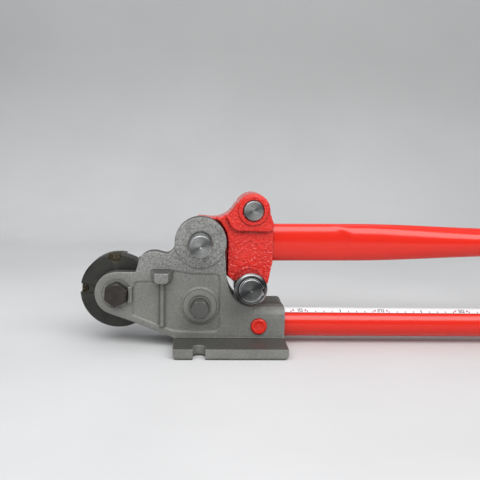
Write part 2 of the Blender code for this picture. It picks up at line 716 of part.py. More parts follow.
def lever_web_outline():
    """The plate between the two ears, outside the head."""
    left = arc(CENTRE_PIN, 0.0315, 56, 18.5, 6)
    lower = [(0.0795, 0.0755), (0.0840, 0.1010), (0.0840, 0.1460), (0.0795, 0.1600)]
    top = arc(UPPER_PIN_AXIS, 0.0180, -10, 138, 9)
    side = flowing([(0.0400, 0.1680), (0.0330, 0.1585), (0.0240, 0.1530)], 3)
    base = [(0.0320, 0.1240), (0.0318, 0.0835), (0.0390, 0.0775)]
    boss = arc(ROLLER_AXIS, 0.0160, 200, 335, 8)
    return base + boss + lower + top + side + left


def lever_pad_outline():
    """The raised pad round the upper pin."""
    top = arc(UPPER_PIN_AXIS, 0.0196, 0, 140, 10)
    side = flowing([(0.0400, 0.1660), (0.0340, 0.1570), (0.0290, 0.1525)], 3)
    lower = flowing([(0.0345, 0.1425), (0.0400, 0.1382), (0.0520, 0.1372), (0.0800, 0.1372)], 3)
    return top + side + lower + [(0.0838, 0.1400), (0.0838, 0.1475), (0.0800, 0.1560)]


def make_lever(parent):
    lever = piece("lever_casting", plate(lever_hub_outline(), -LEVER_HUB_Y, LEVER_HUB_Y), RED_PAINT, parent)
    join(
        lever,
        plate(lever_web_outline(), -LEVER_WEB_Y, LEVER_WEB_Y),
        plate(lever_pad_outline(), -LEVER_PAD_Y, LEVER_PAD_Y),
        cylinder(UPPER_PIN_AXIS, LEVER_RING_RADIUS, -LEVER_RING_Y, LEVER_RING_Y, 36),
        cylinder(ROLLER_AXIS, LEVER_BOSS_RADIUS, -LEVER_BOSS_Y, LEVER_WEB_Y),
        block((0.0800, -0.0056, 0.1100), (0.1300, 0.0056, 0.1370)),
    )
    cut(
        lever,
        cylinder(CENTRE_PIN, CENTRE_PIN_RADIUS + GAP, -0.03, 0.03),
        cylinder(UPPER_PIN_AXIS, UPPER_PIN_RADIUS + 0.0005, -0.04, 0.04),
        cylinder(ROLLER_AXIS, ROLLER_PIN_RADIUS + GAP, -0.04, 0.04),
    )


def make_lever_pins(parent, roller_parent):
    profile = pin_profile(UPPER_PIN_RADIUS, -UPPER_PIN_END_Y, UPPER_PIN_END_Y)
    piece("upper_pin", turned(UPPER_PIN_AXIS, profile), BRIGHT_STEEL, parent)
    front_groove = ROLLER_FRONT_Y - 0.0001 - RING_WIDTH
    rear_washer_back = LEVER_WEB_Y + GAP + 0.0022
    rear_groove = rear_washer_back + 0.0001
    profile = pin_profile(ROLLER_PIN_RADIUS, PIN_FRONT_Y - 0.0005, rear_groove + 0.0042,
                          [front_groove, rear_groove])
    piece("roller_pin", turned(ROLLER_AXIS, profile), BLACK_OXIDE, parent)
    make_circlip("roller_circlip", ROLLER_AXIS, ROLLER_PIN_RADIUS, front_groove, parent)
    make_circlip("roller_pin_rear_circlip", ROLLER_AXIS, ROLLER_PIN_RADIUS, rear_groove, parent)
    bore = ROLLER_PIN_RADIUS + GAP
    piece("roller_pin_washer", ring(ROLLER_AXIS, bore, 0.0172, LEVER_WEB_Y + GAP, rear_washer_back),
          DARK_STEEL, parent)
    washer_front = -LEVER_BOSS_Y - GAP - 0.0018
    piece("roller_thrust_washer", ring(ROLLER_AXIS, bore, 0.0172, washer_front, -LEVER_BOSS_Y - GAP),
          DARK_STEEL, parent)
    back = washer_front - GAP
    front = ROLLER_FRONT_Y + 0.0001
    chamfer = 0.0020
    profile = [(bore, front), (ROLLER_RADIUS - chamfer, front), (ROLLER_RADIUS, front + chamfer),
               (ROLLER_RADIUS, back - chamfer / 2), (ROLLER_RADIUS - chamfer / 2, back), (bore, back)]
    piece("bending_roller", turned(ROLLER_AXIS, profile), BLACK_OXIDE, roller_parent)


# Handles


def tube_section(x, y_width, z_height, middle_z, inset, count=24):
    """A flattened round: two half circles of the width, with a straight side between."""
    radius = y_width / 2 - inset
    straight = (z_height - y_width) / 2
    points = []
    for i in range(count):
        angle = (i + 0.5) * 2 * pi / count
        shift = straight if sin(angle) > 0 else -straight
        points.append((x, radius * cos(angle), middle_z + radius * sin(angle) + shift))
    return points


def lofted_tube(sections):
    """A hollow tube, open at both ends. Each section is a (outer loop, inner loop) pair."""
    shape = bmesh.new()
    rings = [[[shape.verts.new(point) for point in loop] for loop in pair] for pair in sections]
    count = len(rings[0][0])
    for here, there in zip(rings, rings[1:]):
        for side in (0, 1):
            for i in range(count):
                j = (i + 1) % count
                shape.faces.new((here[side][i], here[side][j], there[side][j], there[side][i]))
    for end in (rings[0], rings[-1]):
        for i in range(count):
            j = (i + 1) % count
            shape.faces.new((end[0][i], end[0][j], end[1][j], end[1][i]))
    mesh = bpy.data.meshes.new("tube")
    shape.to_mesh(mesh)
    shape.free()
    return tidied(mesh)


def share_between(x, start, end):
    """0 before start, 1 after end and eased between them."""
    t = min(max((x - start) / (end - start), 0), 1)
    return t * t * (3 - 2 * t)


def upper_tube_size(x):
    """(width, height) of the upper handle, pressed flat at the lever and round further out."""
    round_size = 2 * TUBE_RADIUS
    step = PRESS_STEP * share_between(x, UPPER_FLAT_END, UPPER_PRESS_END)
    growth = share_between(x, UPPER_PRESS_END, UPPER_ROUND_START)
    width = (FLAT_WIDTH + step) * (1 - growth) + round_size * growth
    height = FLAT_HEIGHT * (1 - growth) + round_size * growth
    return width, height


def upper_tube_z(x):
    return UPPER_TUBE_Z + UPPER_TUBE_RISE * (x - UPPER_TUBE_START)


def make_upper_handle(parent):
    stops = [UPPER_TUBE_START, UPPER_FLAT_END, (UPPER_FLAT_END + UPPER_PRESS_END) / 2]
    stops += [UPPER_PRESS_END + (UPPER_ROUND_START - UPPER_PRESS_END) * i / 6 for i in range(7)]
    sections = []
    for x in stops + [UPPER_TUBE_END]:
        width, height = upper_tube_size(x)
        middle = upper_tube_z(x)
        sections.append((tube_section(x, width, height, middle, 0),
                         tube_section(x, width, height, middle, TUBE_WALL)))
    piece("upper_handle_tube", lofted_tube(sections), RED_PAINT, parent)
    make_grip("upper_grip", UPPER_TUBE_END, upper_tube_z(UPPER_TUBE_END), UPPER_TUBE_RISE, parent)


def make_grip(name, tube_end, z, rise, parent=None):
    """A closed rubber sleeve over the end of a handle."""
    start = tube_end - GRIP_LENGTH
    bore, end = TUBE_RADIUS + GAP, tube_end + GAP
    profile = [(bore, start), (GRIP_RADIUS - 0.001, start), (GRIP_RADIUS, start + 0.002),
               (GRIP_RADIUS, end + 0.002), (GRIP_RADIUS - 0.003, end + 0.005), (0, end + 0.005),
               (0, end), (bore, end)]
    tilt = Matrix.Translation((tube_end, 0, z)) @ Matrix.Rotation(-rise, 4, "Y")
    place = tilt @ Matrix.Translation((-tube_end, 0, 0)) @ Matrix.Rotation(-pi / 2, 4, "Y")
    piece(name, turned(None, profile, 32, place), RUBBER, parent)


def rivet_profile():
    """A rivet through the socket, with a low dome outside each cheek."""
    dome = 0.0020
    seat = CHEEK_Y + GAP
    half = [(0, seat + dome), (0.65 * RIVET_HEAD, seat + 0.8 * dome)]
    half += [(RIVET_HEAD, seat), (RIVET_RADIUS, seat)]
    return [(radius, -y) for radius, y in half] + half[::-1]


def make_lower_handle():
    z = HANDLE_AXIS[1]
    size = 2 * TUBE_RADIUS
    sections = [(tube_section(x, size, size, z, 0), tube_section(x, size, size, z, TUBE_WALL))
                for x in (LOWER_TUBE_START, LOWER_TUBE_END)]
    tube = piece("lower_handle_tube", lofted_tube(sections), RED_PAINT)
    cut(tube, cylinder(RIVET_AXIS, RIVET_RADIUS + GAP, -0.05, 0.05, 32))
    make_grip("lower_grip", LOWER_TUBE_END, z, 0.0)
    piece("socket_rivet", turned(RIVET_AXIS, rivet_profile(), 32), RED_PAINT)
    make_tape(z)


def make_tape(z):
    """The measuring strip along the top of the lower handle."""
    inner, outer, steps = TUBE_RADIUS + GAP, TUBE_RADIUS + GAP + 0.0005, 8
    span = TAPE_BACK_ANGLE - TAPE_FRONT_ANGLE
    angles = [TAPE_FRONT_ANGLE + span * i / steps for i in range(steps + 1)]
    outline = [(outer * sin(a), z + outer * cos(a)) for a in angles]
    outline += [(inner * sin(a), z + inner * cos(a)) for a in reversed(angles)]
    mesh = plate(outline, -TAPE_END, -TAPE_START)
    mesh.transform(Matrix.Rotation(pi / 2, 4, "Z"))
    piece("measuring_tape", tidied(mesh), TAPE_WHITE)


def main():
    lever_joint = joint_empty("lever_axis", CENTRE_PIN)
    roller_joint = joint_empty("roller_axis", ROLLER_AXIS, lever_joint)
    idler_joint = joint_empty("idler_axis", IDLER_AXIS)
    blade_joint = joint_empty("blade_axis", BLADE_AXIS)
    make_body()
    make_fixed_blade()
    make_moving_blade(blade_joint)
    make_blade_bolt()
    make_idler(idler_joint)
    make_journal()
    make_centre_pin()
    make_lever(lever_joint)
    make_lever_pins(lever_joint, roller_joint)
    make_upper_handle(lever_joint)
    make_lower_handle()


main()
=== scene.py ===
"""Looks for the hand-operated rebar cutter and bender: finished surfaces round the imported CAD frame.

Metres, +X along the handles, +Y to the back of the head, +Z up. The working faces look towards -Y.
"""

import json
from math import atan2, cos, hypot, pi, radians, sin

import bmesh
import bpy
from mathutils import Matrix, Vector


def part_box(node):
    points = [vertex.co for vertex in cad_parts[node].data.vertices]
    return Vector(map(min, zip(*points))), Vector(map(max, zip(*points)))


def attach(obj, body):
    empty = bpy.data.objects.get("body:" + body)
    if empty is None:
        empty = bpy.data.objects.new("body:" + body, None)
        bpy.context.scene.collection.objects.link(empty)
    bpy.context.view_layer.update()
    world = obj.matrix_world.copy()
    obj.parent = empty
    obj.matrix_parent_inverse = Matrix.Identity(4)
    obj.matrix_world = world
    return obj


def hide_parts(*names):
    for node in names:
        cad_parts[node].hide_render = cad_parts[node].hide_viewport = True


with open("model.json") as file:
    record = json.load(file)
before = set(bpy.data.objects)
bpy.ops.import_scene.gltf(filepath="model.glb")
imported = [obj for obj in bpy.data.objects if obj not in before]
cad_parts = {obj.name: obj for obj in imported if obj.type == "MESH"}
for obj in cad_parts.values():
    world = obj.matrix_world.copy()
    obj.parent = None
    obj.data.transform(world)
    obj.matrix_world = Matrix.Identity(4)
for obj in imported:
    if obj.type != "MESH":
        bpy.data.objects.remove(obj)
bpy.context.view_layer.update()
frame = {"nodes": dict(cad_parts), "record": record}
NODES = frame["nodes"]
SLOTS = {part["node"]: part["material_slot"] for part in frame["record"]["subparts"]}
BODY_OF = {node: body for body, nodes in frame["record"]["behaviour"]["bodies"].items() for node in nodes}

# How fine the meshes are: face size of the softened castings, and sides of turned pieces and tubes
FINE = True
CASTING_VOXEL = 0.0008 if FINE else 0.0016
LEVER_VOXEL = 0.0008 if FINE else 0.0014
TURNED_SIDES = 96
TUBE_SIDES = 72
WELD_DISTANCE = 2e-6

# Clearances and bores, as in the frame
GAP = 0.0003
UPPER_PIN_GAP = 0.0005
BLADE_BOLT_BORE = 0.0083
IDLER_BOLT_BORE = 0.0063
PIN_WASHER_BORE = 0.0128
RIVET_BORE = 0.0083
THROUGH = 0.05


# Measures, taken from the frame


def middle(node):
    low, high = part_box(node)
    return (low + high) / 2


def radius_of(node):
    """Half the height of a round node that lies along Y."""
    low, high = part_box(node)
    return (high.z - low.z) / 2


CENTRE_PIN, UPPER_PIN, ROLLER_PIN = middle("centre_pin"), middle("upper_pin"), middle("roller_pin")
BLADE_BOLT, IDLER_BOLT, RIVET = middle("blade_bush"), middle("idler_journal"), middle("socket_rivet")
CHEEK_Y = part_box("idler_journal")[1].y
TUBE_LOW, TUBE_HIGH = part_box("lower_handle_tube")
TUBE_RADIUS = (TUBE_HIGH.z - TUBE_LOW.z) / 2
TUBE_Z = (TUBE_HIGH.z + TUBE_LOW.z) / 2
TUBE_WALL = 0.0032

# Half the thickness of the lever's web
LEVER_WEB_Y = 0.0165

# The upper tube: pressed flat up to a rounded edge, then easing back to round
FLAT_HALF_WIDTH, FLAT_HALF_HEIGHT = 0.0093, 0.02225
PRESS_END, PRESS_ROUND = 0.150, 0.021
TAPER_START, UPPER_ROUND_START = 0.185, 0.375


def eased(value, low, high):
    """Zero up to low, one from high, and a smooth rise between."""
    t = min(max((value - low) / (high - low), 0.0), 1.0)
    return t * t * (3 - 2 * t)


# Meshes


def new_object(name, mesh):
    obj = bpy.data.objects.new(name, mesh)
    bpy.context.scene.collection.objects.link(obj)
    return obj


def welded(mesh):
    shape = bmesh.new()
    shape.from_mesh(mesh)
    bmesh.ops.remove_doubles(shape, verts=shape.verts, dist=WELD_DISTANCE)
    bmesh.ops.recalc_face_normals(shape, faces=shape.faces)
    shape.to_mesh(mesh)
    shape.free()
    mesh.materials.clear()
    return mesh


def cad_copy(node):
    """A free copy of a CAD node's mesh, with its split corners welded."""
    mesh = NODES[node].data.copy()
    for layer in list(mesh.uv_layers):
        mesh.uv_layers.remove(layer)
    return new_object(f"{node}_finished", welded(mesh))


def applied(obj):
    """Bakes the object's modifiers into its mesh."""
    bpy.context.view_layer.update()
    graph = bpy.context.evaluated_depsgraph_get()
    mesh = bpy.data.meshes.new_from_object(obj.evaluated_get(graph))
    obj.modifiers.clear()
    obj.data = mesh
    return obj


def combined(obj, others, operation):
    """Joins or cuts with closed helper meshes, which are then removed."""
    helpers = []
    for mesh in others:
        helper = new_object("helper", mesh)
        boolean = obj.modifiers.new(operation, "BOOLEAN")
        boolean.operation = operation
        boolean.solver = "MANIFOLD"
        boolean.object = helper
        helpers.append(helper)
    applied(obj)
    for helper in helpers:
        bpy.data.objects.remove(helper)
    return obj


def softened(obj, voxel, rounds):
    """Remeshes evenly and smooths, which rounds every edge like a sand casting."""
    remesh = obj.modifiers.new("remesh", "REMESH")
    remesh.mode = "VOXEL"
    remesh.voxel_size = voxel
    smooth = obj.modifiers.new("smooth", "SMOOTH")
    smooth.factor = 0.5
    smooth.iterations = rounds
    return applied(obj)


def roughened(obj, name, size, depth, share=None):
    """Moves the surface in and out by a cloud pattern, as real geometry. share(point) gives 0 to 1."""
    texture = bpy.data.textures.new(name, "CLOUDS")
    texture.noise_scale = size
    texture.noise_depth = 2
    displace = obj.modifiers.new(name, "DISPLACE")
    displace.texture = texture
    displace.texture_coords = "LOCAL"
    displace.strength = depth
    displace.mid_level = 0.5
    if share:
        group = obj.vertex_groups.new(name=name)
        for vertex in obj.data.vertices:
            group.add([vertex.index], share(vertex.co), "REPLACE")
        displace.vertex_group = name
    applied(obj)
    obj.vertex_groups.clear()
    return obj


def shade(obj, angle=40):
    obj.data.shade_smooth()
    obj.data.set_sharp_from_angle(angle=radians(angle))
    return obj


def rounded(profile, radius, steps=4):
    """The (radius, along) profile with its corners off the axis rounded."""
    out = []
    last = len(profile) - 1
    for i, point in enumerate(profile):
        here = Vector(point)
        if i in (0, last) or point[0] == 0:
            out.append(here)
            continue
        before, after = Vector(profile[i - 1]) - here, Vector(profile[i + 1]) - here
        reach = min(radius, 0.45 * before.length, 0.45 * after.length)
        start, end = here + before.normalized() * reach, here + after.normalized() * reach
        for k in range(steps + 1):
            t = k / steps
            out.append(start * (1 - t) ** 2 + here * 2 * t * (1 - t) + end * t**2)
    return out


def lathe(profile, place, sides=TURNED_SIDES):
    """A closed turned mesh about Z, put in place. A profile off the axis closes on itself as a ring."""
    shape = bmesh.new()
    rings = []
    for radius, along in profile:
        if radius < 1e-7:
            rings.append([shape.verts.new((0, 0, along))])
        else:
            turns = [2 * pi * i / sides for i in range(sides)]
            rings.append([shape.verts.new((radius * cos(a), radius * sin(a), along)) for a in turns])
    pairs = list(zip(rings, rings[1:]))
    if len(rings[0]) > 1:
        pairs.append((rings[-1], rings[0]))
    for here, there in pairs:
        for i in range(sides):
            j = (i + 1) % sides
            corners = [here[i % len(here)], here[j % len(here)]]
            corners += [there[j % len(there)], there[i % len(there)]]
            corners = list(dict.fromkeys(corners))
            if len(corners) > 2:
                shape.faces.new(corners)
    bmesh.ops.recalc_face_normals(shape, faces=shape.faces)
    mesh = bpy.data.meshes.new("turned")
    shape.to_mesh(mesh)
    shape.free()
    mesh.transform(place)
    return mesh


def along_y(centre):
    """Puts a lathe's axis along Y: a profile's second value is then the world's y."""
    return Matrix.Translation((centre.x, 0, centre.z)) @ Matrix.Rotation(-pi / 2, 4, "X")


def cylinder(centre, radius, front=-THROUGH, back=THROUGH):
    """A closed cylinder along Y from front to back."""
    return lathe([(0, front), (radius, front), (radius, back), (0, back)], along_y(centre))


def box_mesh(low, high):
    mesh = bpy.data.meshes.new("box")
    shape = bmesh.new()
    bmesh.ops.create_cube(shape, size=1)
    size = Vector(high) - Vector(low)
    place = Matrix.Translation((Vector(low) + Vector(high)) / 2) @ Matrix.Diagonal((*size, 1))
    bmesh.ops.transform(shape, matrix=place, verts=shape.verts)
    shape.to_mesh(mesh)
    shape.free()
    return mesh


# Materials


class Finish:
    """A Principled material with a few shorthands for its procedural nodes."""

    def __init__(self, name, roughness, metallic=0.0, **inputs):
        self.material = bpy.data.materials.new(name)
        self.material.use_nodes = True
        self.tree = self.material.node_tree
        self.shader = self.tree.nodes["Principled BSDF"]
        self.coords = self.node("TexCoord").outputs["Object"]
        self.geometry = self.node("NewGeometry")
        self.put("Roughness", roughness)
        self.put("Metallic", metallic)
        for label, value in inputs.items():
            self.put(label.replace("_", " "), value)

    def node(self, kind):
        return self.tree.nodes.new(f"ShaderNode{kind}")

    def feed(self, socket, value):
        if isinstance(value, bpy.types.NodeSocket):
            self.tree.links.new(value, socket)
        elif isinstance(value, tuple) and len(value) == 3 and socket.type == "RGBA":
            socket.default_value = (*value, 1.0)
        else:
            socket.default_value = value

    def put(self, label, value):
        self.feed(self.shader.inputs[label], value)

    def noise(self, scale, detail=3.0, stretch=None):
        texture = self.node("TexNoise")
        texture.inputs["Scale"].default_value = scale
        texture.inputs["Detail"].default_value = detail
        source = self.coords
        if stretch:
            mapping = self.node("Mapping")
            mapping.inputs["Scale"].default_value = stretch
            self.feed(mapping.inputs["Vector"], source)
            source = mapping.outputs["Vector"]
        self.feed(texture.inputs["Vector"], source)
        return texture.outputs["Fac"]

    def spots(self, scale):
        texture = self.node("TexVoronoi")
        texture.inputs["Scale"].default_value = scale
        self.feed(texture.inputs["Vector"], self.coords)
        return texture.outputs["Distance"]

    def ramp(self, value, low, high, start=0.0, end=1.0):
        """Maps low...high to start...end and holds beyond."""
        node = self.node("MapRange")
        self.feed(node.inputs["Value"], value)
        for label, number in (("From Min", low), ("From Max", high), ("To Min", start), ("To Max", end)):
            self.feed(node.inputs[label], number)
        return node.outputs["Result"]

    def math(self, operation, a, b=0.0):
        node = self.node("Math")
        node.operation = operation
        self.feed(node.inputs[0], a)
        self.feed(node.inputs[1], b)
        return node.outputs["Value"]

    def blend(self, share, a, b):
        node = self.node("Mix")
        node.data_type = "RGBA"
        self.feed(node.inputs["Factor"], share)
        self.feed(node.inputs[6], a)
        self.feed(node.inputs[7], b)
        return node.outputs[2]

    def crevice(self, colour, shade_colour, reach, share=0.9):
        """Painted shade: darkens the colour where something stands close, as shade falls there."""
        node = self.node("AmbientOcclusion")
        node.samples = 8
        node.inputs["Distance"].default_value = reach
        closed = self.ramp(node.outputs["AO"], 0.85, 0.45, 0.0, share)
        return self.blend(closed, colour, shade_colour)

    def part(self, vector, axis):
        node = self.node("SeparateXYZ")
        self.feed(node.inputs[0], vector)
        return node.outputs[axis]

    def bump(self, height, distance, strength=1.0, after=None):
        node = self.node("Bump")
        node.inputs["Distance"].default_value = distance
        self.feed(node.inputs["Strength"], strength)
        self.feed(node.inputs["Height"], height)
        if after is not None:
            self.feed(node.inputs["Normal"], after)
        return node.outputs["Normal"]

    def from_axis(self):
        """The place (x, z) about the middle of the piece's box."""
        box = self.node("TexCoord").outputs["Generated"]
        return [self.math("SUBTRACT", self.part(box, axis), 0.5) for axis in ("X", "Z")]

    def fan(self, direction):
        """Two light sectors opposite each other about the piece's axis: a painted sheen like the one a
        face turned on a lathe shows.
        """
        x, z = self.from_axis()
        angle = self.math("SUBTRACT", self.math("ARCTAN2", z, x), direction)
        return self.math("ABSOLUTE", self.math("COSINE", angle))

    def from_middle(self):
        """Distance from the piece's axis along Y: one half at the widest."""
        x, z = self.from_axis()
        square = self.math("ADD", self.math("MULTIPLY", x, x), self.math("MULTIPLY", z, z))
        return self.math("SQRT", square)

    def rings(self, count):
        """Tool marks: rings about the piece's axis along Y."""
        return self.math("SINE", self.math("MULTIPLY", self.from_middle(), count))

    def clear_from_behind(self):
        """Lets a view from behind look through."""
        mix = self.node("MixShader")
        self.feed(mix.inputs[0], self.geometry.outputs["Backfacing"])
        self.tree.links.new(self.shader.outputs["BSDF"], mix.inputs[1])
        self.tree.links.new(self.node("BsdfTransparent").outputs["BSDF"], mix.inputs[2])
        self.tree.links.new(mix.outputs["Shader"], self.tree.nodes["Material Output"].inputs["Surface"])

    def radial(self):
        """Runs the sheen round the axis along Y, as turning marks do."""
        node = self.node("Tangent")
        node.direction_type = "RADIAL"
        node.axis = "Y"
        self.put("Tangent", node.outputs["Tangent"])


def cast_iron(name="cast_iron", tone=1.0, up_shade=0.72):
    """Phosphated grey casting: fine sand grain, rougher where it faces up, and darkened there by painted
    shade.
    """
    finish = Finish(name, 0.5, 0.35, Specular_IOR_Level=0.4)

    def toned(*colour):
        return tuple(tone * channel for channel in colour)

    cloud = finish.ramp(finish.noise(28, 4), 0.35, 0.65)
    colour = finish.blend(cloud, toned(0.140, 0.140, 0.125), toned(0.200, 0.201, 0.182))
    stain = finish.ramp(finish.noise(75, 5), 0.55, 0.75, 0.0, 0.35)
    colour = finish.blend(stain, colour, toned(0.175, 0.170, 0.115))
    # Higher up the casting the colour is lighter, and the grain, glints and bump are stronger.
    higher_up = finish.ramp(finish.part(finish.coords, "Z"), 0.078, 0.098, 0.35, 1.0)
    colour = finish.blend(finish.math("MULTIPLY", higher_up, 0.7), colour, toned(0.350, 0.350, 0.338))
    grain = finish.ramp(finish.noise(480, 4), 0.40, 0.64, 0.0, 0.62)
    colour = finish.blend(finish.math("MULTIPLY", grain, higher_up), colour, toned(0.080, 0.080, 0.073))
    # Painted highlight: light specks glinting on the grain.
    glint = finish.ramp(finish.noise(760, 2), 0.60, 0.72, 0.0, 0.65)
    colour = finish.blend(finish.math("MULTIPLY", glint, higher_up), colour, toned(0.46, 0.46, 0.44))
    # Painted shade: the faces that look up are darkened.
    up = finish.ramp(finish.part(finish.geometry.outputs["Normal"], "Z"), 0.45, 0.9)
    colour = finish.blend(finish.math("MULTIPLY", up, up_shade), colour, (0.036, 0.034, 0.031))
    # Painted highlight: sharp edges lightened.
    edge = finish.ramp(finish.geometry.outputs["Pointiness"], 0.53, 0.60, 0.0, 0.55)
    colour = finish.blend(edge, colour, toned(0.36, 0.36, 0.34))
    # Painted shade: hollows darkened.
    hollow = finish.ramp(finish.geometry.outputs["Pointiness"], 0.49, 0.44, 0.0, 0.75)
    colour = finish.blend(hollow, colour, (0.045, 0.043, 0.037))
    # Painted shade where parts stand close.
    finish.put("Base Color", finish.crevice(colour, (0.014, 0.013, 0.012), 0.005))
    finish.put("Roughness", finish.ramp(finish.noise(300, 3), 0.3, 0.7, 0.42, 0.62))
    coarse = finish.bump(finish.noise(420, 3), 0.0010, finish.math("MULTIPLY", higher_up, 0.7))
    finish.put("Normal", finish.bump(finish.noise(1700, 2), 0.0003, 0.55, coarse))
    return finish.material


def blade_steel():
    """Near-black hardened steel, brighter at the edges by a painted highlight."""
    finish = Finish("blade_steel", 0.42, 0.75)
    cloud = finish.ramp(finish.noise(60, 4), 0.35, 0.65)
    colour = finish.blend(cloud, (0.018, 0.019, 0.016), (0.034, 0.032, 0.028))
    # Painted highlight: edges lightened.
    edge = finish.ramp(finish.geometry.outputs["Pointiness"], 0.51, 0.56, 0.0, 0.5)
    colour = finish.blend(edge, colour, (0.14, 0.14, 0.13))
    finish.put("Base Color", colour)
    finish.put("Roughness", finish.ramp(finish.noise(400, 3), 0.3, 0.7, 0.32, 0.62))
    finish.put("Normal", finish.bump(finish.noise(900, 3), 0.0003, 0.4))
    return finish.material


def notch_rust():
    """The scraped brown floor of a bar notch."""
    finish = Finish("notch_rust", 0.7, 0.4)
    cloud = finish.ramp(finish.noise(420, 5, stretch=(1, 0.25, 1)), 0.35, 0.65)
    finish.put("Base Color", finish.blend(cloud, (0.018, 0.014, 0.008), (0.105, 0.086, 0.050)))
    finish.put("Normal", finish.bump(finish.noise(800, 3), 0.0005, 0.7))
    return finish.material


def fastener_steel():
    """Oiled dark steel with a brown cast."""
    finish = Finish("fastener_steel", 0.4, 0.7)
    cloud = finish.ramp(finish.noise(140, 4), 0.3, 0.7)
    colour = finish.blend(cloud, (0.036, 0.031, 0.027), (0.058, 0.050, 0.045))
    # Painted shade where parts stand close.
    finish.put("Base Color", finish.crevice(colour, (0.012, 0.011, 0.010), 0.004))
    finish.put("Roughness", finish.ramp(finish.noise(700, 3), 0.3, 0.7, 0.34, 0.6))
    finish.put("Normal", finish.bump(finish.noise(1300, 3), 0.0002, 0.4))
    return finish.material


def turned_steel(name, dark, light, roughness):
    """A face and a barrel turned on a lathe: rings about the axis, a real anisotropic sheen, and a painted
    sheen that fans out, with painted highlights on the rim.
    """
    finish = Finish(name, roughness, 1.0, Anisotropic=0.75)
    finish.radial()
    cloud = finish.ramp(finish.noise(160, 4), 0.3, 0.7)
    # Painted sheen: two light sectors about the axis.
    fan = finish.ramp(finish.fan(radians(118)), 0.15, 1.0)
    colour = finish.blend(finish.math("MULTIPLY", fan, finish.ramp(cloud, 0, 1, 0.7, 1.0)), dark, light)
    # Painted highlight on the rim, in the sheen's sectors.
    rim = finish.ramp(finish.from_middle(), 0.435, 0.475, 0.0, 0.6)
    colour = finish.blend(finish.math("MULTIPLY", rim, fan), colour, (0.72, 0.73, 0.73))
    # Painted shade where parts stand close.
    finish.put("Base Color", finish.crevice(colour, tuple(0.12 * c for c in dark), 0.004))
    finish.put("Normal", finish.bump(finish.rings(260), 0.00006, 0.35))
    smear = finish.ramp(finish.noise(260, 4), 0.35, 0.7, roughness - 0.05, roughness + 0.14)
    finish.put("Roughness", smear)
    return finish.material


def enamel():
    """Smooth gloss enamel, with faint runs along the tube."""
    finish = Finish("red_enamel", 0.17, 0.0, Specular_IOR_Level=0.54)
    cloud = finish.ramp(finish.noise(6, 3, stretch=(0.3, 1, 1)), 0.3, 0.7)
    colour = finish.blend(cloud, (0.650, 0.012, 0.003), (0.710, 0.017, 0.004))
    # Painted shade where parts stand close.
    finish.put("Base Color", finish.crevice(colour, (0.14, 0.004, 0.003), 0.004))
    finish.put("Normal", finish.bump(finish.noise(160, 2, stretch=(0.25, 1, 1)), 0.0002, 0.12))
    return finish.material


def enamel_on_casting():
    """The same enamel over a sand casting: painted shade in the pits, and painted highlights glinting on
    the grain and along the edges.
    """
    finish = Finish("red_enamel_on_casting", 0.20, 0.0, Specular_IOR_Level=0.3, Coat_Weight=0.35,
                    Coat_Roughness=0.04)
    cloud = finish.ramp(finish.noise(40, 3), 0.3, 0.7)
    colour = finish.blend(cloud, (0.600, 0.012, 0.006), (0.700, 0.018, 0.008))
    # Painted shade: pits darkened.
    hollow = finish.ramp(finish.geometry.outputs["Pointiness"], 0.49, 0.44, 0.0, 0.7)
    colour = finish.blend(hollow, colour, (0.20, 0.005, 0.005))
    # Painted highlight: sharp edges lightened.
    edge = finish.ramp(finish.geometry.outputs["Pointiness"], 0.53, 0.60, 0.0, 0.5)
    colour = finish.blend(edge, colour, (0.92, 0.20, 0.19))
    # Painted highlights: light specks glinting on the grain, mostly on the web below the pad.
    web = finish.ramp(finish.part(finish.coords, "Z"), 0.122, 0.130, 1.0, 0.25)
    glint = finish.ramp(finish.noise(620, 3, stretch=(0.6, 1, 1)), 0.60, 0.70, 0.0, 0.6)
    colour = finish.blend(finish.math("MULTIPLY", glint, web), colour, (0.97, 0.36, 0.34))
    # Painted shade where parts stand close.
    finish.put("Base Color", finish.crevice(colour, (0.08, 0.003, 0.003), 0.005))
    coarse = finish.bump(finish.noise(330, 3), 0.0030, 0.8)
    finish.put("Normal", finish.bump(finish.noise(900, 2), 0.0006, 0.5, coarse))
    return finish.material


def strip_white():
    finish = Finish("strip_white", 0.34, 0.0, Coat_Weight=0.2)
    cloud = finish.ramp(finish.noise(40, 4, stretch=(0.2, 1, 1)), 0.35, 0.7)
    finish.put("Base Color", finish.blend(cloud, (0.78, 0.78, 0.79), (0.90, 0.90, 0.91)))
    finish.put("Normal", finish.bump(finish.noise(900, 2), 0.0001, 0.1))
    return finish.material


def ink(name, colour):
    finish = Finish(name, 0.5)
    finish.put("Base Color", finish.blend(finish.ramp(finish.noise(900, 2), 0.3, 0.7), colour,
                                          tuple(0.6 * c for c in colour)))
    return finish.material


def grip_rubber():
    finish = Finish("grip_rubber", 0.6, 0.0, Specular_IOR_Level=0.35)
    cloud = finish.ramp(finish.noise(30, 5), 0.3, 0.7)
    finish.put("Base Color", finish.blend(cloud, (0.014, 0.014, 0.015), (0.030, 0.030, 0.031)))
    finish.put("Roughness", finish.ramp(finish.noise(120, 4), 0.3, 0.7, 0.52, 0.75))
    finish.put("Normal", finish.bump(finish.spots(2200), 0.0003, 0.35))
    return finish.material


